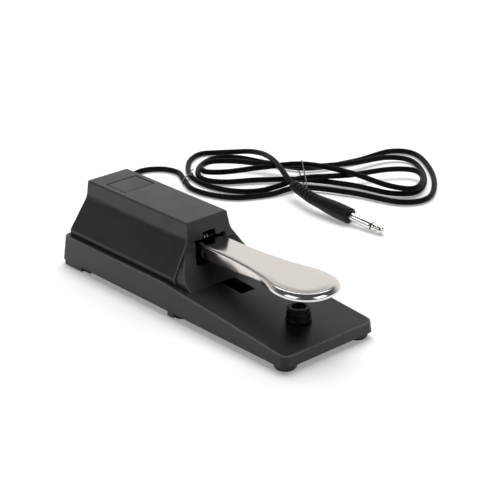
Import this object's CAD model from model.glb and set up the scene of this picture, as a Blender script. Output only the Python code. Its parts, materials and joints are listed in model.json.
"""A foot pedal with a coiled lead and a plug.

The pedal lies along X on the floor at z = 0: the lever's nose points to +X, and the lead leaves the
housing at -X, is coiled up on the +Y side and ends in the plug. The visible ones are trimmed to
rounded envelopes or remade. Shapes are in millimetres and become metres in solid(). Materials,
lights and camera are in metres.
"""
import json
import math
from contextlib import contextmanager

import bmesh
import bpy
from mathutils import Matrix, Vector

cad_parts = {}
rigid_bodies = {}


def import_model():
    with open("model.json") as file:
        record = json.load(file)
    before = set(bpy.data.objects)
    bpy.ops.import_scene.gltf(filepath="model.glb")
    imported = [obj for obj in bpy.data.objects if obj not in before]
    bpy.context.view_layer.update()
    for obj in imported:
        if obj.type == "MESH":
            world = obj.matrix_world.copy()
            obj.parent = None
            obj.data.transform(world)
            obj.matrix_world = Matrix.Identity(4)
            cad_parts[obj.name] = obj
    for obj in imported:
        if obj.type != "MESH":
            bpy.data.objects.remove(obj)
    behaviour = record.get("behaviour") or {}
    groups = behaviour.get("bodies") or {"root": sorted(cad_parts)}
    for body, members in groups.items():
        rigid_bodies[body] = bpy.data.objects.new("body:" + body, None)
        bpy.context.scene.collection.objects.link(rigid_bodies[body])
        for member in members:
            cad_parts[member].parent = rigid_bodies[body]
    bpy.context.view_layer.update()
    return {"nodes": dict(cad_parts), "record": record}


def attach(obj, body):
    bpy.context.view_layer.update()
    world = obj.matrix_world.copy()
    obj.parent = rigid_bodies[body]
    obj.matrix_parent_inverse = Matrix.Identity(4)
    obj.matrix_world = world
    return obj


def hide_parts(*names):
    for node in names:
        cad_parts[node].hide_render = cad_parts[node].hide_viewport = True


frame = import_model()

MM = 0.001

# ---------------------------------------------------------------- driving dimensions
BASE_LENGTH, BASE_WIDTH = 225.0, 77.2
HALF_LENGTH, HALF_WIDTH = BASE_LENGTH / 2, BASE_WIDTH / 2
BASE_BOTTOM, BASE_TOP = 4.0, 21.4
TOE_TOP = 11.4    # height of the base at its +X end
SLOPE_X = -5.0    # the top slopes down from here to the +X end
SLOPE = (BASE_TOP - TOE_TOP) / (HALF_LENGTH - SLOPE_X)
DRAFT = 1.6       # how far the walls lean in over the height of the base
CORNER = 5.0
HOUSE_TOP = 57.2
TRIM = 0.03       # an envelope lies this far inside the CAD surface

# section of the housing, seen along X: (y, z) and corner radius
HOUSE = [(-33, 16.0), (33, 16.0), (33, 25.2), (18.6, 45.5),
         (17.2, HOUSE_TOP), (-17.2, HOUSE_TOP), (-18.6, 45.5), (-33, 25.2)]
HOUSE_RADII = [0, 0, 6, 10, 1.4, 1.4, 10, 6]


def top_z(x):
    """Height of the base's top."""
    return BASE_TOP if x < SLOPE_X else BASE_TOP - (x - SLOPE_X) * SLOPE


def face_x(z):
    """The housing's leaning front face, towards +X."""
    return -1.8 + 0.178 * (HOUSE_TOP - z)


def rear_x(z):
    return -106.5 - 1.5 * (HOUSE_TOP - z) / (HOUSE_TOP - BASE_TOP)


# ---------------------------------------------------------------- outlines and paths
def quarter(steps):
    """Angles of a quarter turn, in radians."""
    return [math.radians(90 * k / steps) for k in range(steps + 1)]


def rounded(corners, radii, steps):
    """Round each corner of a closed 2-D outline with its own radius."""
    out, count = [], len(corners)
    for i in range(count):
        before, corner, after = (Vector(corners[j % count]) for j in (i - 1, i, i + 1))
        radius = radii[i]
        if radius <= 0:
            out.append((corner.x, corner.y))
            continue
        back, ahead = (before - corner).normalized(), (after - corner).normalized()
        half_angle = math.acos(max(-1, min(1, back.dot(ahead)))) / 2
        centre = corner + (back + ahead).normalized() * radius / math.sin(half_angle)
        start = corner + back * radius / math.tan(half_angle) - centre
        stop = corner + ahead * radius / math.tan(half_angle) - centre
        first = math.atan2(start.y, start.x)
        last = math.atan2(stop.y, stop.x)
        sweep = (last - first + math.pi) % (2 * math.pi) - math.pi
        for k in range(steps + 1):
            angle = first + sweep * k / steps
            out.append((centre.x + radius * math.cos(angle), centre.y + radius * math.sin(angle)))
    return out


def inward(ring, distance):
    """Offset a closed counter-clockwise 2-D ring inwards."""
    count, out = len(ring), []
    for i in range(count):
        before, point, after = (Vector(ring[j % count]) for j in (i - 1, i, i + 1))
        edge_in, edge_out = point - before, after - point
        if edge_in.length < 1e-7:
            edge_in = edge_out
        if edge_out.length < 1e-7:
            edge_out = edge_in
        miter = (Vector((-edge_in.y, edge_in.x)).normalized()
                 + Vector((-edge_out.y, edge_out.x)).normalized())
        # the floor of 0.4 keeps sharp corners from shooting inwards
        miter = miter / max(0.4, miter.length_squared) * 2
        out.append((point.x + miter.x * distance, point.y + miter.y * distance))
    return out


def arc(centre_r, centre_z, radius, start, stop, steps):
    """Arc of a lathe profile, between two angles in degrees."""
    angles = [math.radians(start + (stop - start) * k / steps) for k in range(steps + 1)]
    return [(centre_r + radius * math.cos(a), centre_z + radius * math.sin(a)) for a in angles]


def catmull_rom(a, b, c, d, t):
    """Point between b and c."""
    return 0.5 * (2 * b + (c - a) * t + (2 * a - 5 * b + 4 * c - d) * t * t
                  + (3 * b - a - 3 * c + d) * t**3)


def spline(points, steps):
    out, count = [], len(points)
    for i in range(count - 1):
        around = [points[max(0, i - 1)], points[i], points[i + 1], points[min(count - 1, i + 2)]]
        out += [catmull_rom(*around, k / steps) for k in range(steps)]
    out.append(points[-1])
    return out


def travelled(path):
    """Length along the path at each of its points."""
    lengths = [0.0]
    for p, q in zip(path, path[1:]):
        lengths.append(lengths[-1] + (q - p).length)
    return lengths


def frames_along(path):
    """Tangents of a path, and normals carried along it without twist."""
    count = len(path)
    tangents = [(path[min(count - 1, i + 1)] - path[max(0, i - 1)]).normalized()
                for i in range(count)]
    normal = Vector((0, 0, 1)) if abs(tangents[0].z) < 0.9 else Vector((1, 0, 0))
    normals = []
    for tangent in tangents:
        normal = (normal - tangent * normal.dot(tangent)).normalized()
        normals.append(normal.copy())
    return tangents, normals


# ---------------------------------------------------------------- meshes
def link(name, mesh):
    obj = bpy.data.objects.new(name, mesh)
    bpy.context.scene.collection.objects.link(obj)
    return obj


@contextmanager
def editing(mesh):
    bm = bmesh.new()
    bm.from_mesh(mesh)
    yield bm
    bm.to_mesh(mesh)
    bm.free()


def solid(name, verts, faces):
    mesh = bpy.data.meshes.new(name)
    mesh.from_pydata([(x * MM, y * MM, z * MM) for x, y, z in verts], [], faces)
    with editing(mesh) as bm:
        bmesh.ops.remove_doubles(bm, verts=bm.verts, dist=2e-7)
        bmesh.ops.recalc_face_normals(bm, faces=bm.faces)
    return link(name, mesh)


def ring_walls(size, count, closed=False):
    """Quads between consecutive rings of the same size."""
    faces = []
    for k in range(count if closed else count - 1):
        after = (k + 1) % count
        for i in range(size):
            j = (i + 1) % size
            faces.append((k * size + i, k * size + j, after * size + j, after * size + i))
    return faces


def loft(name, rings, closed=False):
    """Skin over rings. Capped at both ends, or closed on itself."""
    size, count = len(rings[0]), len(rings)
    faces = ring_walls(size, count, closed)
    if not closed:
        faces.append(tuple(range(size))[::-1])
        faces.append(tuple((count - 1) * size + i for i in range(size)))
    return solid(name, [p for ring in rings for p in ring], faces)


def lathe(name, profile, sides, origin):
    """Turn (r, z) pairs about Z. r = 0 at the ends closes on the axis; otherwise it is a ring."""
    verts, faces, rows = [], [], []
    for r, z in profile:
        if r < 1e-6:
            rows.append([len(verts)] * sides)
            verts.append((0, 0, z))
        else:
            rows.append(list(range(len(verts), len(verts) + sides)))
            angles = [2 * math.pi * i / sides for i in range(sides)]
            verts += [(r * math.cos(a), r * math.sin(a), z) for a in angles]
    open_ends = profile[0][0] > 1e-6 and profile[-1][0] > 1e-6
    for k in range(len(profile) if open_ends else len(profile) - 1):
        low, high = rows[k], rows[(k + 1) % len(profile)]
        for i in range(sides):
            j = (i + 1) % sides
            face = tuple(dict.fromkeys((low[i], low[j], high[j], high[i])))
            if len(face) > 2:
                faces.append(face)
    place = Matrix.Translation(origin)
    return solid(name, [tuple(place @ Vector(v)) for v in verts], faces)


def tube(name, path, radius, sides, end=0.0):
    """Sweep a circle along a path. end is the length of the rounded ends, in radii."""
    tangents, normals = frames_along(path)

    def ring(centre, i, scale=1.0):
        across = tangents[i].cross(normals[i])
        r = radius * scale
        out = []
        for j in range(sides):
            a = 2 * math.pi * j / sides
            out.append(tuple(centre + normals[i] * r * math.cos(a) + across * r * math.sin(a)))
        return out

    def reach(scale):
        return math.sqrt(1 - scale * scale)

    scales = (0.25, 0.5, 0.75) if end else ()
    rings = [ring(path[0] - tangents[0] * radius * end * reach(s), 0, s) for s in scales]
    rings += [ring(point, i) for i, point in enumerate(path)]
    rings += [ring(path[-1] + tangents[-1] * radius * end * reach(s), -1, s)
              for s in reversed(scales)]
    return loft(name, rings)


def join(name, parts):
    bm = bmesh.new()
    for part in parts:
        bm.from_mesh(part.data)
    mesh = bpy.data.meshes.new(name)
    bm.to_mesh(mesh)
    bm.free()
    for part in parts:
        bpy.data.objects.remove(part)
    return link(name, mesh)


def cad_copy(node, name):
    """Copy of a CAD node with its flat faces merged."""
    mesh = frame["nodes"][node].data.copy()
    mesh.name = name
    with editing(mesh) as bm:
        bmesh.ops.remove_doubles(bm, verts=bm.verts, dist=2e-6)
        bmesh.ops.dissolve_limit(bm, angle_limit=math.radians(0.3), verts=bm.verts, edges=bm.edges)
        bmesh.ops.recalc_face_normals(bm, faces=bm.faces)
    mesh.materials.clear()
    return link(name, mesh)


def boolean(obj, tool, operation):
    """Apply a boolean to the object and discard the tool."""
    modifier = obj.modifiers.new("b", "BOOLEAN")
    modifier.object = tool
    modifier.operation = operation
    modifier.solver = "EXACT"
    depsgraph = bpy.context.evaluated_depsgraph_get()
    mesh = bpy.data.meshes.new_from_object(obj.evaluated_get(depsgraph))
    obj.modifiers.clear()
    obj.data = mesh
    bpy.data.objects.remove(tool)
    with editing(mesh) as bm:
        bmesh.ops.remove_doubles(bm, verts=bm.verts, dist=2e-6)
        loose = [v for v in bm.verts if not v.link_faces]
        bmesh.ops.delete(bm, geom=loose, context="VERTS")


def shade(obj, angle, weighted=True):
    """Smooth shading, sharp above an angle in degrees."""
    mesh = obj.data
    mesh.polygons.foreach_set("use_smooth", [True] * len(mesh.polygons))
    mesh.set_sharp_from_angle(angle=math.radians(angle))
    mesh.update()
    if weighted:
        modifier = obj.modifiers.new("normals", "WEIGHTED_NORMAL")
        modifier.keep_sharp = True
        modifier.weight = 70


def rub_edges(obj, amount):
    """Mark the narrow faces of rounded edges, which the finish shows rubbed lighter.

    amount(x, y, z) takes the face's centre in millimetres."""
    narrow = 0.35 * MM  # area over perimeter
    least_bend, most_bend = math.radians(3.5), math.radians(40)
    bm = bmesh.new()
    bm.from_mesh(obj.data)
    bm.normal_update()
    values = []
    for face in bm.faces:
        perimeter = sum(e.calc_length() for e in face.edges)
        rubbed = face.calc_area() / max(perimeter, 1e-9) < narrow and any(
            len(e.link_faces) == 2 and least_bend < e.calc_face_angle(0.0) < most_bend
            for e in face.edges)
        centre = face.calc_center_median()
        values.append(amount(centre.x / MM, centre.y / MM, centre.z / MM) if rubbed else 0.0)
    bm.free()
    attribute = obj.data.attributes.new("rubbed", "FLOAT", "FACE")
    attribute.data.foreach_set("value", values)


def piece(obj, body, slot, *replaced):
    """Finish a piece: its material, the body it moves with, its slot and what it replaces."""
    obj.data.materials.clear()
    obj.data.materials.append(MATERIALS[slot])
    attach(obj, body)
    if replaced:
        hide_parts(*replaced)


# ---------------------------------------------------------------- shader nodes
MIX_A, MIX_B, MIX_RESULT = 6, 7, 2  # the colour sockets of a Mix node


def add_node(tree, kind, inputs=None, **settings):
    """Add a shader node. Each input is a value, or the output socket that feeds it."""
    node = tree.nodes.new("ShaderNode" + kind)
    for key, value in settings.items():
        setattr(node, key, value)
    for key, value in (inputs or {}).items():
        if isinstance(value, bpy.types.NodeSocket):
            tree.links.new(value, node.inputs[key])
        else:
            node.inputs[key].default_value = value
    return node


def add_noise(tree, vector, scale, detail, **others):
    inputs = {"Vector": vector, "Scale": scale, "Detail": detail, **others}
    return add_node(tree, "TexNoise", inputs).outputs["Fac"]


def add_remap(tree, value, source, target=(0.0, 1.0), **settings):
    inputs = dict(enumerate((value, *source, *target)))
    return add_node(tree, "MapRange", inputs, **settings).outputs[0]


def add_math(tree, operation, *values):
    return add_node(tree, "Math", dict(enumerate(values)), operation=operation).outputs[0]


def add_mix(tree, factor, a, b, **settings):
    inputs = {0: factor, MIX_A: a, MIX_B: b}
    return add_node(tree, "Mix", inputs, data_type="RGBA", **settings).outputs[MIX_RESULT]


def add_dot(tree, a, b):
    inputs = {0: a, 1: b}
    return add_node(tree, "VectorMath", inputs, operation="DOT_PRODUCT").outputs["Value"]


def wall_tone(tree, coords, tone, wall):
    """Paler upright walls, fading out towards +X."""
    normal = add_node(tree, "NewGeometry").outputs["Normal"]
    normal_z = add_node(tree, "SeparateXYZ", {0: normal}).outputs[2]
    flatness = add_math(tree, "ABSOLUTE", normal_z)
    upright = add_remap(tree, flatness, source=(0.35, 0.9), target=(1.0, 0.0))
    along_x = add_node(tree, "SeparateXYZ", {0: coords}).outputs[0]
    fade = add_remap(tree, along_x, source=(-0.02, 0.11), target=(1.0, 0.0))
    factor = add_math(tree, "MULTIPLY", upright, fade)
    return add_mix(tree, factor, tone, tuple(wall) + (1,))


def worn_tone(tree, coords, tone, wear, wear_color):
    """Lighter convex edges, and the faces marked by rub_edges, both broken up by noise."""
    bevel = add_node(tree, "Bevel", {0: 0.00035}, samples=4)
    normal = add_node(tree, "NewGeometry").outputs["Normal"]
    edge = add_remap(tree, add_dot(tree, bevel.outputs[0], normal), source=(0.995, 0.86))
    patches = add_noise(tree, coords, scale=420, detail=5)
    patchy = add_remap(tree, patches, source=(0.42, 0.66))
    edge = add_math(tree, "MULTIPLY", add_math(tree, "MULTIPLY", edge, patchy), wear)
    marked = add_node(tree, "Attribute", attribute_name="rubbed").outputs["Fac"]
    uneven = add_remap(tree, patches, source=(0.25, 0.75), target=(0.55, 1.0))
    rubbed = add_math(tree, "MULTIPLY", marked, uneven)
    mask = add_math(tree, "MAXIMUM", edge, rubbed)
    return add_mix(tree, mask, tone, tuple(wear_color) + (1,))


def scratched(tree, coords, roughness, scratch):
    """Roughness with fine streaks added."""
    inputs = {"Scale": (1.0, 14.0, 1.0), "Rotation": (0, 0, 0.25), 0: coords}
    streak_coords = add_node(tree, "Mapping", inputs).outputs[0]
    streaks = add_noise(tree, streak_coords, scale=300, detail=6)
    added = add_remap(tree, streaks, source=(0.55, 0.8), target=(0.0, scratch))
    return add_math(tree, "ADD", roughness, added)


def material(name, color, rough, metal=0.0, grain=(2600, 0.12), vary=(60, 0.12), rvary=0.08,
             wear=0.25, wear_color=None, spec=0.5, stretch=None, scratch=0.0, wall=None):
    """A finish.

    grain: scale and bump strength of the fine texture; stretch scales its coordinates.
    vary: scale and amount of the slow change of colour; rvary: that of roughness.
    wear, wear_color: strength and colour of the worn edges. scratch: roughness of streaks.
    wall: colour of the upright walls."""
    made = bpy.data.materials.new(name)
    made.use_nodes = True
    tree = made.node_tree
    tree.nodes.clear()
    output = add_node(tree, "OutputMaterial")
    surface = {"Metallic": metal, "IOR": 1.5, "Specular IOR Level": spec}
    shader = add_node(tree, "BsdfPrincipled", surface)
    tree.links.new(shader.outputs[0], output.inputs[0])
    coords = add_node(tree, "TexCoord").outputs["Object"]
    grain_coords = coords
    if stretch:
        grain_coords = add_node(tree, "Mapping", {"Scale": stretch, 0: coords}).outputs[0]

    cloud = add_noise(tree, coords, scale=vary[0], detail=4, Roughness=0.6)
    fine = add_noise(tree, grain_coords, scale=grain[0], detail=3)
    dark = tuple(c * (1 - vary[1]) for c in color) + (1,)
    light = tuple(min(1, c * (1 + vary[1])) for c in color) + (1,)
    tone = add_mix(tree, cloud, dark, light)
    if wall:
        tone = wall_tone(tree, coords, tone, wall)
    speckle = add_remap(tree, fine, source=(0.3, 0.7), target=(0.72, 1.2))
    speckle_amount = 0.35 if metal < 0.5 else 0.08
    tone = add_mix(tree, speckle_amount, tone, speckle, blend_type="MULTIPLY")
    if wear:
        worn = wear_color or [min(1, c * 2.2 + 0.03) for c in color]
        tone = worn_tone(tree, coords, tone, wear, worn)
    tree.links.new(tone, shader.inputs["Base Color"])

    rough_range = (max(0.02, rough - rvary), min(1, rough + rvary))
    roughness = add_remap(tree, cloud, source=(0.25, 0.75), target=rough_range)
    if scratch:
        roughness = scratched(tree, coords, roughness, scratch)
    tree.links.new(roughness, shader.inputs["Roughness"])
    bump_inputs = {"Strength": grain[1], "Distance": 0.00012, "Height": fine}
    bump = add_node(tree, "Bump", bump_inputs)
    tree.links.new(bump.outputs[0], shader.inputs["Normal"])
    return made


# ---------------------------------------------------------------- the finishes, by material slot
MATERIALS = {
    "base_plastic": material(
        "satin_black_base", color=(0.012, 0.012, 0.0122), rough=0.33, spec=0.38,
        wall=(0.024, 0.0238, 0.0242), grain=(2400, 0.22), vary=(35, 0.10),
        wear=0.35, wear_color=(0.115, 0.115, 0.116)),
    "cover_plastic": material(
        "satin_black_cover", color=(0.018, 0.0178, 0.0182), rough=0.36, spec=0.49,
        grain=(2600, 0.18), vary=(35, 0.10), wear=0.35, wear_color=(0.10, 0.10, 0.101)),
    "label_plastic": material(
        "smooth_black_label", color=(0.016, 0.016, 0.0165), rough=0.34, spec=0.42,
        grain=(3200, 0.08), vary=(50, 0.1), wear=0.3),
    "plate_steel": material(
        "powder_coated_plate", color=(0.028, 0.028, 0.03), rough=0.55,
        grain=(1500, 0.5), vary=(30, 0.2), wear=0.6, wear_color=(0.3, 0.3, 0.31)),
    "screw_black": material(
        "black_oxide", color=(0.035, 0.035, 0.038), rough=0.42, metal=0.8,
        grain=(3000, 0.15), wear=0.8, wear_color=(0.4, 0.4, 0.41)),
    "screw_zinc": material(
        "zinc_plate", color=(0.62, 0.62, 0.63), rough=0.25, metal=1.0,
        grain=(3000, 0.1), vary=(200, 0.15), wear=0.5, wear_color=(0.8, 0.8, 0.8)),
    "foot_rubber": material(
        "foot_rubber", color=(0.010, 0.010, 0.010), rough=0.65, spec=0.3,
        grain=(1800, 0.5), vary=(120, 0.25), wear=0.3),
    "stop_rubber": material(
        "stop_rubber", color=(0.009, 0.009, 0.0093), rough=0.26, spec=0.12,
        grain=(2200, 0.2), vary=(150, 0.2), wear=0.25),
    "lever_nickel": material(
        "bright_nickel", color=(0.78, 0.745, 0.715), rough=0.125, metal=1.0,
        grain=(1400, 0.02), vary=(25, 0.03), rvary=0.03, wear=0.0, scratch=0.08),
    "axle_steel": material(
        "ground_steel", color=(0.62, 0.62, 0.63), rough=0.24, metal=1.0,
        grain=(3000, 0.1), stretch=(1, 0.05, 1), wear=0.3, wear_color=(0.85, 0.85, 0.85)),
    "clip_steel": material(
        "phosphated_steel", color=(0.16, 0.165, 0.17), rough=0.45, metal=1.0,
        grain=(2500, 0.3), wear=0.6, wear_color=(0.6, 0.6, 0.6)),
    "bush_nylon": material(
        "natural_nylon", color=(0.72, 0.69, 0.60), rough=0.42,
        grain=(1500, 0.1), vary=(90, 0.06), wear=0.1),
    "bracket_steel": material(
        "zinc_sheet", color=(0.55, 0.56, 0.57), rough=0.33, metal=1.0, grain=(900, 0.12),
        vary=(160, 0.22), rvary=0.12, wear=0.5, wear_color=(0.75, 0.75, 0.75)),
    "spring_steel": material(
        "drawn_wire", color=(0.34, 0.35, 0.36), rough=0.30, metal=1.0,
        grain=(2500, 0.2), vary=(150, 0.2), wear=0.3),
    "switch_plastic": material(
        "moulded_switch", color=(0.02, 0.02, 0.023), rough=0.40, grain=(2600, 0.15), wear=0.3),
    "plunger_plastic": material(
        "plunger_plastic", color=(0.45, 0.05, 0.035), rough=0.35, grain=(2600, 0.1), wear=0.2),
    "leaf_brass": material(
        "rolled_brass", color=(0.66, 0.52, 0.28), rough=0.28, metal=1.0,
        grain=(1500, 0.15), stretch=(0.1, 1, 1), wear=0.3),
    "terminal_brass": material(
        "tinned_brass", color=(0.70, 0.60, 0.38), rough=0.30, metal=1.0,
        grain=(1800, 0.15), wear=0.4),
    "selector_body": material(
        "pressed_can", color=(0.42, 0.43, 0.45), rough=0.36, metal=1.0,
        grain=(1500, 0.12), vary=(150, 0.2), wear=0.5, wear_color=(0.7, 0.7, 0.7)),
    "selector_plastic": material(
        "selector_knob", color=(0.02, 0.02, 0.021), rough=0.30, grain=(2600, 0.1), wear=0.3),
    "grommet_rubber": material(
        "grommet_rubber", color=(0.014, 0.014, 0.014), rough=0.58, grain=(2000, 0.35), wear=0.2),
    "clamp_nylon": material(
        "clamp_nylon", color=(0.70, 0.67, 0.58), rough=0.45,
        grain=(1500, 0.1), vary=(90, 0.06), wear=0.1),
    "wire_insulation": material(
        "wire_pvc", color=(0.42, 0.035, 0.03), rough=0.34, grain=(2500, 0.1), wear=0.0),
    "cable_jacket": material(
        "matt_jacket", color=(0.0045, 0.0045, 0.0047), rough=0.42, spec=0.07,
        grain=(1700, 0.22), vary=(70, 0.25), rvary=0.07, wear=0.0),
    "tie_plastic": material(
        "tie_coating", color=(0.16, 0.16, 0.165), rough=0.30,
        grain=(1500, 0.15), vary=(200, 0.25), wear=0.0),
    "boot_plastic": material(
        "soft_boot", color=(0.008, 0.008, 0.0083), rough=0.40, spec=0.20,
        grain=(1900, 0.25), vary=(90, 0.2), wear=0.3, wear_color=(0.05, 0.05, 0.05)),
    "plug_nickel": material(
        "plug_nickel", color=(0.80, 0.775, 0.73), rough=0.10, metal=1.0,
        grain=(2000, 0.02), vary=(60, 0.03), rvary=0.03, wear=0.0, scratch=0.06),
    "ring_plastic": material(
        "ring_plastic", color=(0.008, 0.008, 0.008), rough=0.25, grain=(2500, 0.05), wear=0.0),
}

# ---------------------------------------------------------------- base tray
BASE_ROUND = 0.9  # radius round the top edge
SIDE_STATIONS = [-92, -70, -48, -26, SLOPE_X, 18, 42, 66, 90]  # x of the points on the long sides


def base_plan(inset):
    x, y = HALF_LENGTH - inset, HALF_WIDTH - inset
    ring = rounded([(-x, -y), (x, -y), (x, y), (-x, y)], [CORNER - 0.25 * inset] * 4, 9)
    corners = [ring[i * 10:(i + 1) * 10] for i in range(4)]
    low_side = [(station, -y) for station in SIDE_STATIONS]
    high_side = [(station, y) for station in reversed(SIDE_STATIONS)]
    return corners[0] + low_side + corners[1] + corners[2] + high_side + corners[3]


def base_ring(inset_at, z_at):
    """One ring of the envelope. Inset and height follow from the height of the top."""
    ring = []
    for i, (x, _) in enumerate(base_plan(0)):
        top = top_z(x) - 0.02
        ring.append((*base_plan(inset_at(top))[i], z_at(top)))
    return ring


def wall_inset(z):
    return DRAFT * max(0.0, z - BASE_BOTTOM) / 17.4 + TRIM


def base_envelope():
    rings = [base_ring(lambda top: TRIM, lambda top: -2.0),
             base_ring(lambda top: TRIM, lambda top: BASE_BOTTOM)]
    for a in quarter(8):
        rings.append(base_ring(
            lambda top: wall_inset(top - BASE_ROUND) + BASE_ROUND * (1 - math.cos(a)) * 0.98,
            lambda top: top - BASE_ROUND + BASE_ROUND * math.sin(a)))
    size = len(rings[0])
    faces = [tuple(range(size))[::-1]] + ring_walls(size, len(rings))
    # the top is two flat faces that meet where the slope begins
    first = (len(rings) - 1) * size
    low, high = [i for i, (x, _) in enumerate(base_plan(0)) if abs(x - SLOPE_X) < 1e-6]
    faces.append(tuple(first + i for i in range(low, high + 1)))
    faces.append(tuple(first + i % size for i in range(high, low + size + 1)))
    return solid("envelope", [p for ring in rings for p in ring], faces)


def pocket_cutter():
    """Sloping lead-in round the pocket ahead of the housing."""
    lead = 0.45
    rear, front, half = 12.2, 37.5, 5.4

    def rectangle(x0, x1, y, z_shift):
        return [(px, py, top_z(px) + z_shift) for px, py in ((x0, -y), (x1, -y), (x1, y), (x0, y))]

    verts = rectangle(rear - lead, front + lead, half + lead, 0.02)
    verts += rectangle(rear, front, half, -lead)
    return solid("cutter", verts, [(3, 2, 1, 0), (4, 5, 6, 7), (0, 1, 5, 4), (1, 2, 6, 5),
                                   (2, 3, 7, 6), (3, 0, 4, 7)])


def build_base():
    def rubbed(x, y, z):
        depth = top_z(x) - z
        outer = abs(y) > HALF_WIDTH - 4 or abs(x) > HALF_LENGTH - 4
        corner = abs(x) > HALF_LENGTH - 6.5 and abs(y) > HALF_WIDTH - 6.5
        top_edge = z > BASE_BOTTOM + 1 and outer and depth < 1.2
        return 1.0 if top_edge and not (corner and depth > 0.8) else 0.0

    envelope = base_envelope()
    base = cad_copy("base_tray", "base_tray_shell")
    boolean(base, envelope, "INTERSECT")
    boolean(base, pocket_cutter(), "DIFFERENCE")
    rub_edges(base, rubbed)
    shade(base, 30)
    piece(base, "base", "base_plastic", "base_tray")


# ---------------------------------------------------------------- housing cover
def build_cover():
    end_round = 0.75
    section = inward(rounded(HOUSE, HOUSE_RADII, 12), 0.035)
    # how far each ring of a rounded end lies inside the section, and behind the end
    steps = [(end_round * (1 - math.sin(a)), end_round * (1 - math.cos(a))) for a in quarter(7)]
    rings = [[(rear_x(z) + TRIM + back, y, z) for y, z in inward(section, inset)]
             for inset, back in steps]
    rings += [[(face_x(z) - TRIM - back, y, z) for y, z in inward(section, inset)]
              for inset, back in reversed(steps)]

    def rubbed(x, y, z):
        if x > face_x(z) - 1.0 and z < 56:
            return 0.9
        return 0.25 if z > 56 or x < rear_x(z) + 1 else 0.0

    envelope = loft("envelope", rings)
    cover = cad_copy("housing_cover", "housing_shell")
    boolean(cover, envelope, "INTERSECT")
    rub_edges(cover, rubbed)
    shade(cover, 30)
    piece(cover, "base", "cover_plastic", "housing_cover")


# ---------------------------------------------------------------- blank label plate
def build_label():
    rear, front, half = -90.85, -71.35, 12.25
    bottom, top, rim = 56.42, 57.02, 0.3
    plan = rounded([(rear, -half), (front, -half), (front, half), (rear, half)], [1.0] * 4, 6)
    rings = [[(x, y, bottom) for x, y in plan]]
    for a in quarter(6):
        z = top - rim + rim * math.sin(a)
        rings.append([(x, y, z) for x, y in inward(plan, rim * (1 - math.cos(a)))])
    label = loft("label_panel", rings)
    rub_edges(label, lambda x, y, z: 0.3)
    shade(label, 40)
    piece(label, "base", "label_plastic", "label_plate")


# ---------------------------------------------------------------- front skirt
SKIRT_BOTTOM, SKIRT_TOP = 17.5, 39.9
SKIRT_ROUND = 0.8
# one half of the housing's section, 1.45 in from its surface, sorted by height
SKIRT_SIDE = sorted((p for p in inward(rounded(HOUSE, HOUSE_RADII, 16), 1.45) if p[0] > 0),
                    key=lambda p: p[1])


def skirt_half_width(z):
    z = max(z, 20.0)
    for (y0, z0), (y1, z1) in zip(SKIRT_SIDE, SKIRT_SIDE[1:]):
        if z0 <= z <= z1 and z1 - z0 > 1e-6:
            return y0 + (y1 - y0) * (z - z0) / (z1 - z0)


def ramp_x(z):
    """The skirt's flared front."""
    return face_x(z) + 13.1 * max(0.0, (42 - z) / 22.5) ** 1.75


def skirt_ring(z):
    half = skirt_half_width(z) - 0.04
    back = face_x(z) - 0.25
    front = max(ramp_x(z) - TRIM, back + 0.3)
    r = max(0.03, min(SKIRT_ROUND, (front - back) * 0.4))
    ring = [(back, -half, z)]
    ring += [(front - r + r * math.sin(a), -half + r - r * math.cos(a), z) for a in quarter(6)]
    ring += [(front, (-half + r) + 2 * (half - r) * k / 12, z) for k in range(1, 12)]
    ring += [(front - r + r * math.cos(a), half - r + r * math.sin(a), z) for a in quarter(6)]
    ring.append((back, half, z))
    return ring


def build_skirt():
    steps = 48
    rings = [skirt_ring(SKIRT_BOTTOM + (SKIRT_TOP - SKIRT_BOTTOM) * i / steps)
             for i in range(steps + 1)]

    def rubbed(x, y, z):
        return 0.8 if x > face_x(z) + 1.5 and abs(y) > skirt_half_width(z) - 1.2 else 0.0

    envelope = loft("envelope", rings)
    skirt = cad_copy("front_skirt", "front_skirt_shell")
    boolean(skirt, envelope, "INTERSECT")
    rub_edges(skirt, rubbed)
    shade(skirt, 24)
    piece(skirt, "base", "cover_plastic", "front_skirt")


# ---------------------------------------------------------------- pedal lever
LEVER_WIDTH = [  # x, half width
    (-64, 11), (-20, 11), (20, 11), (30, 11.2), (43, 12.2), (51, 13.1), (58, 14.2), (66, 15.9),
    (72, 17.7), (78, 19.6), (84, 20.9), (90, 21.2)]
LEVER_UNDER = [  # x, z of the underside
    (-64, 33.3), (22, 33.3), (30, 33.7), (40, 34.4), (48, 35.5), (56, 37), (62, 37.8), (70, 38),
    (112, 38)]
TAIL_X, TAIL_ROUND, TAIL_HALF = -63, 3, 11
NOSE_X, NOSE_LENGTH, NOSE_HALF = 88.0, 23.0, 21.1
NOSE_POWER = 2.25  # 2 would be an ellipse
LEVER_SKIN = 42.8 - TRIM
LEAN = 0.42  # how far the neck's sides lean in
# Rings of the envelope. blend runs from 0 at the neck to 1 at the nose.
UNDER_EDGE = [(0.75, 0.0), (0.42, 0.07), (0.16, 0.26), (0.03, 0.5), (0.0, 0.8)]  # inset, rise
CROWN = [  # part of the crown's width, part of its drop
    (0.10, 0.86), (0.22, 0.68), (0.36, 0.48), (0.52, 0.28), (0.70, 0.11), (0.85, 0.03), (1.0, 0.0)]


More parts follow.
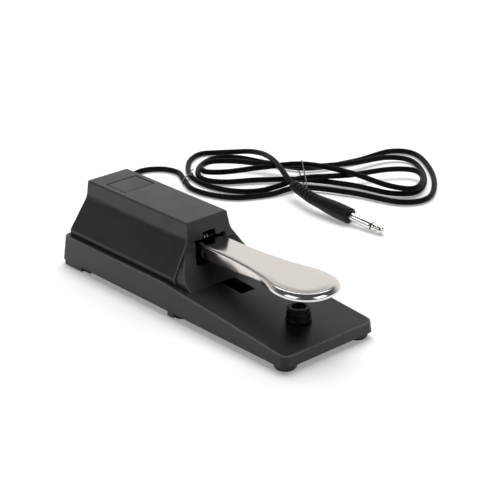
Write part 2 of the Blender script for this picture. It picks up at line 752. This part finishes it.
def smooth_lookup(stations, x):
    """Cubic through the stations, with slopes taken from the neighbours."""
    i = 0
    while i < len(stations) - 2 and x > stations[i + 1][0]:
        i += 1
    p, q = stations[i], stations[i + 1]
    before, after = stations[max(0, i - 1)], stations[min(len(stations) - 1, i + 2)]
    width = q[0] - p[0]
    t = max(0.0, min(1.0, (x - p[0]) / width))
    slope_p = width * (q[1] - before[1]) / max(0.01, q[0] - before[0])
    slope_q = width * (after[1] - p[1]) / max(0.01, after[0] - p[0])
    return ((2 * t**3 - 3 * t**2 + 1) * p[1] + (t**3 - 2 * t**2 + t) * slope_p
            + (3 * t**2 - 2 * t**3) * q[1] + (t**3 - t**2) * slope_q)


def lever_outline():
    """Counter-clockwise: along the -Y side to the nose, back along +Y."""
    start = TAIL_X + TAIL_ROUND
    half = []
    for degrees in range(90, 0, -15):
        a = math.radians(degrees)
        half.append((start - TAIL_ROUND * math.sin(a),
                     TAIL_HALF - TAIL_ROUND + TAIL_ROUND * math.cos(a)))
    for i in range(71):
        x = start + i * (NOSE_X - 1 - start) / 70
        half.append((x, smooth_lookup(LEVER_WIDTH, x)))
    for i in range(33):
        a = math.radians(88.5 * (1 - i / 32.0))
        half.append((NOSE_X + NOSE_LENGTH * math.cos(a) ** (2 / NOSE_POWER),
                     NOSE_HALF * math.sin(a) ** (2 / NOSE_POWER)))
    return inward([(x, -y) for x, y in half] + half[:-1][::-1], 0.06)


def underside(x):
    for (x0, z0), (x1, z1) in zip(LEVER_UNDER, LEVER_UNDER[1:]):
        if x0 <= x <= x1:
            return z0 + (z1 - z0) * (x - x0) / (x1 - x0)
    return LEVER_UNDER[-1][1]


def smooth_underside(x):
    return sum(underside(x + d) for d in (-4, -2, 0, 2, 4)) / 5 + 0.05


def nose_blend(x):
    t = max(0.0, min(1.0, (x - 52) / (96 - 52)))
    return t * t * (3 - 2 * t)


def rim_width(blend):
    return 1.5 + (4.6 - 1.5) * blend


def rim_height(blend):
    return 1.5 + (3.3 - 1.5) * blend


def crown_drop(blend):
    return 0.08 + 0.22 * blend


def lever_rings():
    outline = lever_outline()
    offsets = {}

    def ring(inset_at, z_at):
        out = []
        for i, (x, _) in enumerate(outline):
            blend = nose_blend(x)
            inset = round(inset_at(blend), 4)
            if inset not in offsets:
                offsets[inset] = inward(outline, inset)
            px, py = offsets[inset][i]
            out.append((px, py, z_at(px, blend)))
        return out

    rings = [ring(lambda blend: inset, lambda x, blend: smooth_underside(x) + rise)
             for inset, rise in UNDER_EDGE]
    for k in range(15):
        a = math.radians(6 + 84 * k / 14)
        rings.append(ring(
            lambda blend: LEAN * (1 - blend) + rim_width(blend) * (1 - math.cos(a)) - 0.005,
            lambda x, blend: (LEVER_SKIN - crown_drop(blend)
                              - rim_height(blend) * (1 - math.sin(a)))))
    for part, drop in CROWN:
        rings.append(ring(
            lambda blend: LEAN * (1 - blend) + rim_width(blend) + (1.6 + 3.4 * blend) * part,
            lambda x, blend: LEVER_SKIN - crown_drop(blend) * drop))
    return rings


def build_lever():
    envelope = loft("envelope", lever_rings())
    lever = cad_copy("pedal_lever", "pedal_lever_shell")
    boolean(lever, envelope, "INTERSECT")
    shade(lever, 38)
    piece(lever, "lever", "lever_nickel", "pedal_lever")


# ---------------------------------------------------------------- bump stop and front feet
def build_bump_stop():
    """A turned rubber buffer with a stepped hole through it."""
    height = 23.5 - 11.8
    profile = [(2.26, 0.0), (8.15, 0.0), (8.17, 4.0)]  # flange
    profile += arc(7.87, 4.05, 0.3, 0, 70, 4) + [(7.78, 4.7), (7.76, height - 3.2)]
    # groove below the rim
    profile += arc(7.26, height - 2.9, 0.5, 0, 80, 5)
    profile += [(6.95, height - 2.25), (6.88, height - 2.0), (6.92, height - 1.7)]
    # rim
    profile += arc(6.98, height - 1.25, 0.28, -70, 0, 4) + arc(6.55, height - 0.72, 0.7, 0, 90, 7)
    # hole
    profile += arc(4.98, height - 0.42, 0.42, 90, 180, 4) + [(4.5, height - 1.4), (4.45, 6.8)]
    profile += arc(4.05, 6.8, 0.4, 0, -90, 3) + [(2.26, 6.4)]
    stop = lathe("bump_stop_rubber", profile, 96, (84.0, 0, 11.81))
    shade(stop, 40)
    piece(stop, "base", "stop_rubber", "bump_stop")


def build_front_feet():
    inset = 8.2  # from the base's sides to the foot's axis
    profile = [(0, 0.0), (5.2, 0.0), (5.4, 0.12), (5.6, 0.0)]
    profile += arc(6.0, 0.45, 0.45, -90, 0, 4) + [(6.45, 2.38), (0, 2.38)]
    for number, side, replaced in ((1, -1, ["front_feet"]), (2, 1, [])):
        origin = (HALF_LENGTH - inset, side * (HALF_WIDTH - inset), 0)
        foot = lathe(f"front_foot_{number}", profile, 64, origin)
        shade(foot, 40)
        piece(foot, "base", "foot_rubber", *replaced)


# ---------------------------------------------------------------- return spring
def build_spring():
    """Four turns round the Y axis, with a straight leg at each end."""
    axis_x, axis_z, radius = -11.0, 37.9, 6.6
    wire = 1.8
    width = 4 * (wire + 0.55)
    start, stop = -66.0, -50.0 + 1440.0  # degrees

    def coil(degrees):
        a = math.radians(degrees)
        return Vector((axis_x + radius * math.cos(a),
                       -width / 2 + width * (degrees - start) / (stop - start),
                       axis_z + radius * math.sin(a)))

    path = [coil(start) + Vector((-0.915, 0, -0.403)) * k * 6 for k in (3, 2, 1)]
    path += [coil(start + (stop - start) * i / 200) for i in range(201)]
    path += [coil(stop) + Vector((0.766, 0, 0.643)) * k * 4.9 for k in (1, 2)]
    spring = tube("return_spring_coil", path, wire / 2, 14, end=0.4)
    shade(spring, 60, weighted=False)
    piece(spring, "lever", "spring_steel", "return_spring")


# ---------------------------------------------------------------- the lead
LEAD_RADIUS = 2.13
LOW = 4.3 / 2 + 0.1  # height of the lead's axis on the floor
LIFT = 0.9           # the coil's crossings lie this much higher
TURNS = [  # reach, yaw in degrees, bulge at the start and at the end, height of the far side
    (101, 50, 42, 47, 0), (86, 216, 20, 21, 0), (93, 47, 33, 36, 0), (83, 223, 11, 12, 4.6),
    (92, 43, 31, 23, 4.6)]
# place across the bundle and height, at each crossing between turns
CROSSINGS = [(0, 0), (5, 0), (2, 0), (4, 4.6), (3, 9.8), (1, 4.6)]
LEAD_IN = [  # from inside the housing to the coil
    (-89, 9, 30), (-100, 9, 30), (-105, 9, 30), (-111, 9, 30), (-117, 9, 30),
    (-124.5, 10.2, 25.4), (-132, 12.6, 17), (-140, 17.8, 8.4), (-149, 25, 3.6), (-160, 36, LOW),
    (-178, 56, LOW), (-200, 84, LOW), (-210, 108, LOW), (-203, 124, LOW), (-188, 129, LOW),
    (-172, 122, LOW), (-154, 114.5, LOW), (-134, 117, LOW), (-116, 128, LOW), (-104, 150, LOW)]
LEAD_OUT = [  # from the coil to the plug
    (-106, 164, LOW + 3.4), (-114, 148, LOW + 0.6), (-129, 134, LOW), (-151, 127.5, LOW),
    (-174, 131, LOW), (-192, 143, LOW), (-204, 157, LOW), (-207.5, 171, LOW),
    (-199, 182, LOW + 0.5), (-186, 188.5, LOW + 3), (-172, 191, LOW + 6.5),
    (-157, 189.5, LOW + 9.4), (-143, 185, LOW + 11.4), (-130, 179.3, LOW + 12.6),
    (-117, 173, LOW + 12.4), (-104, 166.9, LOW + 10.9), (-93, 162.3, LOW + 9.4)]
BOOT_START = Vector((-89.2, 161.1, 11.2))


def crossing(i):
    place, height = CROSSINGS[i]
    return Vector((-97 - 5.2 * place, 176 + 6.6 * place, LOW + LIFT + height))


def turn_point(i, degrees):
    """Point of a long loop that runs from one crossing to the next over 180 degrees."""
    reach, yaw, bulge_start, bulge_end, height = TURNS[i]
    a, yaw = math.radians(degrees), math.radians(yaw)
    along = Vector((math.cos(yaw), math.sin(yaw), 0))
    across = Vector((-math.sin(yaw), math.cos(yaw), 0))
    bulge = (bulge_start if degrees < 90 else bulge_end) / 0.385
    progress = (1 - math.cos(a)) / 2
    away = max(0.0, math.sin(a))
    settle = away**1.3
    middle = crossing(i) * (1 - progress) + crossing(i + 1) * progress
    z = middle.z * (1 - settle) + (LOW + height) * settle
    return (Vector((middle.x, middle.y, 0)) + along * reach * away
            - across * bulge * math.cos(a) * away**2 + Vector((0, 0, z)))


def lead_path():
    way = [Vector(p) for p in LEAD_IN]
    way += [turn_point(i, 180 * k / 8) for i in range(5) for k in range(8)]
    way += [crossing(5)] + [Vector(p) for p in LEAD_OUT] + [BOOT_START]
    path = [Vector((p.x, p.y, max(LOW, p.z))) for p in spline(way, 9)]
    # soften the corners left by keeping the lead above the floor
    for _ in range(3):
        z = [p.z for p in path]
        for i in range(60, len(path) - 4):
            path[i].z = max(LOW, (z[i - 1] + 2 * z[i] + z[i + 1]) / 4)
    return path


def build_cable(lead):
    cable = tube("lead_cable", lead, LEAD_RADIUS, 18)
    shade(cable, 60, weighted=False)
    piece(cable, "base", "cable_jacket", "cable")


# ---------------------------------------------------------------- twist ties
def loose_end(start, offsets, radius):
    """Two strands twisted about each other, from a start through points given from it."""
    pitch = 2.0
    centre = spline([start] + [start + Vector(offset) for offset in offsets], 14)
    tangents, normals = frames_along(centre)
    lengths = travelled(centre)
    strands = []
    for phase in (0, math.pi):
        path = []
        for i, point in enumerate(centre):
            a = lengths[i] / pitch * 2 * math.pi + phase
            across = tangents[i].cross(normals[i])
            path.append(point + (normals[i] * math.cos(a) + across * math.sin(a)) * radius * 0.85)
        strands.append(tube("strand", path, radius, 8, end=0.6))
    return strands


def hull(points):
    """Convex hull, counter-clockwise."""
    points = sorted(set((round(x, 4), round(y, 4)) for x, y in points))

    def half(sequence):
        out = []
        for p in sequence:
            while len(out) > 1:
                (ax, ay), (bx, by) = out[-2:]
                if (bx - ax) * (p[1] - ay) - (by - ay) * (p[0] - ax) > 0:
                    break
                out.pop()
            out.append(p)
        return out[:-1]

    return half(points) + half(points[::-1])


def direction(yaw):
    """The level direction at right angles to yaw, and the one along it."""
    yaw = math.radians(yaw)
    return Vector((-math.sin(yaw), math.cos(yaw), 0)), Vector((math.cos(yaw), math.sin(yaw), 0))


def tie_loop(lead, centre, yaw, reach):
    """Closed loop drawn tight round every run of the lead that crosses the tie's plane."""
    gap = 0.5
    along, across = direction(yaw)
    points = []
    for before, after in zip(lead, lead[1:]):
        p, q = before - centre, after - centre
        side_p, side_q = p.dot(across), q.dot(across)
        if side_p * side_q <= 0 and abs(side_p - side_q) > 1e-9:
            hit = p.lerp(q, side_p / (side_p - side_q))
            a, z = hit.dot(along), hit.z
            if abs(a) <= reach:
                # a lead that crosses at a slant is wider in the plane
                wide = LEAD_RADIUS / max(0.35, abs((q - p).normalized().dot(across)))
                for k in range(24):
                    t = k * math.pi / 12
                    points.append((a + (wide + gap) * math.cos(t),
                                   max(0.62, z + (LEAD_RADIUS + gap) * math.sin(t))))
    ring = [Vector((centre[0], centre[1], 0)) + along * a + Vector((0, 0, z))
            for a, z in hull(points)]
    spaced = []
    for p, q in zip(ring, ring[1:] + ring[:1]):
        count = max(1, int((q - p).length / 1.2))
        spaced += [p.lerp(q, k / count) for k in range(count)]
    return spaced


def closed_twist(points, radius, pitch):
    """Two strands twisted about each other round a closed loop."""
    turns = max(1, round(travelled(points + points[:1])[-1] / pitch))
    count = len(points)
    fine = []
    for i in range(count):
        around = [points[j % count] for j in (i - 1, i, i + 1, i + 2)]
        fine += [catmull_rom(*around, k / 3) for k in range(3)]
    size = len(fine)
    normal = (points[0] - points[count // 2]).cross(
        points[count // 4] - points[3 * count // 4]).normalized()
    lengths = travelled(fine + fine[:1])
    strands = []
    for phase in (0, math.pi):
        middle = []
        for i in range(size):
            outward = (fine[(i + 1) % size] - fine[i - 1]).normalized().cross(normal)
            a = lengths[i] / lengths[-1] * turns * 2 * math.pi + phase
            middle.append(fine[i] + (normal * math.cos(a) + outward * math.sin(a)) * radius * 0.9)
        rings = []
        for i in range(size):
            tangent = (middle[(i + 1) % size] - middle[i - 1]).normalized()
            outward = tangent.cross(normal).normalized()
            side = outward.cross(tangent)
            angles = [j * math.pi / 4 for j in range(8)]
            rings.append([
                tuple(middle[i] + (side * math.cos(a) + outward * math.sin(a)) * radius)
                for a in angles])
        strands.append(loft("strand", rings, closed=True))
    return strands


def build_ties(lead):
    small = tie_loop(lead, Vector((-172.5, 126.5, 0)), yaw=26, reach=14)
    big_centre, big_yaw = Vector((-107.5, 189.0, 0)), 54
    big = tie_loop(lead, big_centre, yaw=big_yaw, reach=34)
    strands = closed_twist(small, radius=0.26, pitch=3.2)
    strands += closed_twist(big, radius=0.3, pitch=3.6)
    # the small tie's ends leave from its top
    top = max(small, key=lambda p: p.z)
    for offsets in (
            [(2.5, -1.0, 0.8), (4.4, -3.4, 0.3), (3.6, -6.2, 0.9), (6.4, -8.2, -0.4)],
            [(-1.8, 1.6, 0.7), (-2.2, 4.4, 1.2), (-4.6, 5.6, 0.2)]):
        strands += loose_end(top, offsets, radius=0.24)
    # the big tie's end leaves from its far upper side
    outward = direction(big_yaw)[0] + Vector((0, 0, 0.35))
    far = max(big, key=lambda p: (p - big_centre).dot(outward))
    strands += loose_end(far, [(0.4, 1.2, 1.1), (2.6, 2.6, 1.4), (4.8, 3.2, 0.6)], radius=0.3)
    ties = join("twist_ties", strands)
    shade(ties, 60, weighted=False)
    piece(ties, "base", "tie_plastic", "cable_ties")


# ---------------------------------------------------------------- plug boot
BOOT_END = Vector((-25.1, 157.3, 6.05))
DIP, YAW = math.radians(5.9), math.radians(4.3)  # of the barrel
BARREL_DIR = Vector((math.cos(DIP) * math.cos(YAW), math.cos(DIP) * math.sin(YAW), -math.sin(DIP)))
BARREL_LENGTH = 38.0
BARREL_START = BOOT_END - BARREL_DIR * BARREL_LENGTH
TAIL_LENGTH = (BARREL_START - BOOT_START).length
TAIL_DIR = (BARREL_START - BOOT_START).normalized()
BEND_BEFORE, BEND_AFTER = 5, 6  # the bend's reach into the tail and into the barrel
END_ROUND = 1.0
SLOT_PITCH, SLOT_DEPTH = 4.55, 1.35


def boot_path():
    """Straight tail, bend, straight barrel, then close stations round its edge."""
    step = 0.3
    path = [BOOT_START + TAIL_DIR * (i * step) for i in range(int((TAIL_LENGTH - BEND_BEFORE) / step))]
    bend_in, bend_out = path[-1] + TAIL_DIR * step, BARREL_START + BARREL_DIR * BEND_AFTER
    for i in range(25):
        t = i / 24
        path.append(bend_in * (1 - t) ** 2 + BARREL_START * 2 * t * (1 - t) + bend_out * t * t)
    straight = BARREL_LENGTH - BEND_AFTER - END_ROUND
    count = int(straight / 0.5)
    path += [bend_out + BARREL_DIR * (straight * i / count) for i in range(1, count + 1)]
    for degrees in (20, 40, 60, 75, 90):
        path.append(BOOT_END - BARREL_DIR * (1 - math.sin(math.radians(degrees))) * END_ROUND)
    return path


def boot_radius(along, total, angle):
    to_end = total - along
    if along < 0.8:
        radius = 3.55 + 0.6 * math.sin(math.pi / 2 * along / 0.8)
    elif along < TAIL_LENGTH:
        radius = 4.15 + 0.35 * (along / TAIL_LENGTH)
    else:
        t = min(1.0, (along - TAIL_LENGTH) / 26.0)
        radius = 4.5 + 1.5 * (t * t * (3 - 2 * t))
    if to_end < END_ROUND:
        radius -= END_ROUND - math.sqrt(max(0.0, END_ROUND**2 - (END_ROUND - to_end) ** 2))
    # two rows of slots, half a pitch apart, with solid spines between the rows
    turned = (angle + math.pi / 2) % (2 * math.pi)
    first_slot = 2.2 + (2.3 if int(turned / math.pi) == 0 else 0.0)
    if first_slot < along < first_slot + 6 * SLOT_PITCH + 0.2:
        phase = ((along - first_slot) / SLOT_PITCH) % 1.0
        slot = 1 / (1 + math.exp(-(0.27 - abs(phase - 0.5)) * 42))
        from_middle = abs(turned % math.pi - math.pi / 2)
        row = 1 / (1 + math.exp((from_middle - 1.12) * 20))
        radius -= SLOT_DEPTH * slot * row
    return radius


def build_boot():
    sides, roll = 56, 0.95  # the roll sets where the spines lie
    path = boot_path()
    lengths = travelled(path)
    tangents, normals = frames_along(path)
    angles = [2 * math.pi * j / sides for j in range(sides)]

    def around(i, angle):
        across = tangents[i].cross(normals[i])
        return normals[i] * math.cos(angle + roll) + across * math.sin(angle + roll)

    rings = [[tuple(path[i] + around(i, a) * boot_radius(lengths[i], lengths[-1], a))
              for a in angles] for i in range(len(path))]
    # end face and recess: radius, depth behind the end
    for radius, depth in ((4.4, 0.0), (3.6, 0.0), (3.24, 0.35), (3.24, 2.0)):
        rings.append([tuple(BOOT_END - BARREL_DIR * depth + around(-1, a) * radius)
                      for a in angles])
    boot = loft("plug_boot_moulding", rings)
    shade(boot, 50, weighted=False)
    piece(boot, "base", "boot_plastic", "plug_boot")


# ---------------------------------------------------------------- CAD nodes kept as they are
BROKEN_EDGES = {  # bevel width
    "bottom_plate": 0.15, "label_plate": 0.12, "middle_feet": 0.5, "rear_feet": 0.5,
    "bump_stop_screw": 0.12, "cover_screws": 0.12, "bottom_plate_screws": 0.12,
    "pivot_bracket": 0.2, "bracket_screws": 0.12, "switch_mount": 0.15,
    "microswitch_body": 0.2, "polarity_switch_body": 0.15, "polarity_slider": 0.15,
    "rest_pad": 0.3, "cable_grommet": 0.3, "cable_clamp": 0.3, "axle_bushes": 0.12,
    "axle_clips": 0.08, "pivot_axle": 0.15}


def break_edges(obj, width):
    flat = obj.modifiers.new("flat", "DECIMATE")
    flat.decimate_type = "DISSOLVE"
    flat.angle_limit = math.radians(0.5)
    bevel = obj.modifiers.new("edge", "BEVEL")
    bevel.width = width * MM
    bevel.segments = 2
    bevel.limit_method = "ANGLE"
    bevel.angle_limit = math.radians(35)
    bevel.use_clamp_overlap = True
    bevel.harden_normals = False


def finish_cad_nodes():
    slots = {part["node"]: part["material_slot"] for part in frame["record"]["subparts"]}
    for name, obj in frame["nodes"].items():
        if obj.hide_render:
            continue
        if not obj.material_slots:
            obj.data.materials.append(None)
        for material_slot in obj.material_slots:
            material_slot.link = "OBJECT"
            material_slot.material = MATERIALS[slots[name]]
        weld = obj.modifiers.new("weld", "WELD")
        weld.merge_threshold = 2e-6
        if name in BROKEN_EDGES:
            break_edges(obj, BROKEN_EDGES[name])


# ---------------------------------------------------------------- floor, world, lights, camera
def build_floor():
    made = bpy.data.materials.new("studio_floor")
    made.use_nodes = True
    tree = made.node_tree
    shader = tree.nodes["Principled BSDF"]
    shader.inputs["Roughness"].default_value = 0.6
    shader.inputs["Specular IOR Level"].default_value = 0.2
    # a faint glow, as of a light table, keeps the gaps under the object pale
    shader.inputs["Emission Color"].default_value = (0.97, 0.96, 0.96, 1)
    shader.inputs["Emission Strength"].default_value = 0.30
    cloud = add_node(tree, "TexNoise", {"Scale": 3.0}).outputs["Fac"]
    tone = add_mix(tree, cloud, a=(0.66, 0.66, 0.66, 1), b=(0.68, 0.68, 0.68, 1))
    tree.links.new(tone, shader.inputs["Base Color"])
    half, z = 8, -0.0001
    corners = [(-half, -half, z), (half, -half, z), (half, half, z), (-half, half, z)]
    mesh = bpy.data.meshes.new("studio_floor")
    mesh.from_pydata(corners, [], [(0, 1, 2, 3)])
    floor = link("studio_floor", mesh)
    mesh.materials.append(made)


def build_world():
    """A pale backdrop behind the object, a darker room overhead and in front."""
    world = bpy.data.worlds.new("studio")
    world.use_nodes = True
    bpy.context.scene.world = world
    tree = world.node_tree
    coords = add_node(tree, "TexCoord").outputs["Generated"]
    behind = add_dot(tree, coords, (-0.742, 0.670, 0.0))
    side = add_remap(tree, behind, source=(0.0, 0.8), interpolation_type="SMOOTHSTEP")
    height = add_node(tree, "SeparateXYZ", {0: coords}).outputs["Z"]
    low = add_remap(tree, height, source=(0.42, 0.70), target=(1.0, 0.0),
                    interpolation_type="SMOOTHSTEP")
    backdrop = add_math(tree, "MULTIPLY", side, low)
    tone = add_mix(tree, backdrop, a=(0.085, 0.085, 0.09, 1), b=(0.90, 0.875, 0.855, 1))
    background = tree.nodes["Background"]
    tree.links.new(tone, background.inputs["Color"])
    background.inputs["Strength"].default_value = 1.0


def aim_area(name, location, target, size, power):
    light = bpy.data.lights.new(name, "AREA")
    light.shape = "RECTANGLE"
    light.size, light.size_y = size
    light.energy = power
    obj = link(name, light)
    obj.location = location
    aim = Vector(target) - Vector(location)
    obj.rotation_euler = aim.to_track_quat("-Z", "Y").to_euler()
    return obj


def build_lights():
    top = aim_area("top_soft", location=(-0.45, 0.55, 1.45), target=(-0.05, 0.1, 0),
                   size=(1.7, 1.4), power=40)
    top.visible_glossy = False
    # cards seen only in reflections
    cards = [
        aim_area("back_card", location=(-0.70, 0.63, 1.23), target=(0, 0, 0.03),
                 size=(1.3, 0.22), power=1.9),
        aim_area("right_card", location=(1.32, 0.38, 0.98), target=(0.05, 0, 0.03),
                 size=(1.0, 1.15), power=6.5),
        aim_area("left_card", location=(-0.20, -1.36, 0.98), target=(0.05, 0, 0.03),
                 size=(1.0, 1.15), power=6.5)]
    # a card overhead that only the plug's bare end mirrors
    plug = bpy.data.collections.new("plug_metal")
    for obj in bpy.data.objects:
        if obj.type == "MESH" and any(
                part in obj.name for part in ("plug_sleeve", "plug_tip", "plug_insulator")):
            plug.objects.link(obj)
    plug_card = aim_area("plug_card", location=(-0.25, 0.75, 1.15), target=(0, 0.16, 0),
                         size=(1.1, 0.9), power=9)
    plug_card.light_linking.receiver_collection = plug
    for card in cards + [plug_card]:
        card.visible_diffuse = False


def build_camera():
    yaw, pitch, roll = math.radians(137.940), math.radians(-23.649), math.radians(-0.322)
    data = bpy.data.cameras.new("camera")
    data.sensor_width = 36.0
    data.lens = 112.76
    data.clip_start, data.clip_end = 0.01, 30
    camera = link("camera", data)
    view = Vector((math.cos(pitch) * math.cos(yaw), math.cos(pitch) * math.sin(yaw),
                   math.sin(pitch)))
    level = view.cross(Vector((0, 0, 1))).normalized()
    upright = level.cross(view)
    right = level * math.cos(roll) + upright * math.sin(roll)
    up = -level * math.sin(roll) + upright * math.cos(roll)
    camera.matrix_world = Matrix((
        (right.x, up.x, -view.x, 0.7087),
        (right.y, up.y, -view.y, -0.6038),
        (right.z, up.z, -view.z, 0.4416),
        (0, 0, 0, 1)))
    bpy.context.scene.camera = camera


build_base()
build_cover()
build_label()
build_skirt()
build_lever()
build_bump_stop()
build_front_feet()
build_spring()
lead = lead_path()
build_cable(lead)
build_ties(lead)
build_boot()
finish_cad_nodes()
build_floor()
build_world()
build_lights()
bpy.context.scene.view_settings.view_transform = "Standard"
bpy.context.scene.view_settings.look = "None"
build_camera()
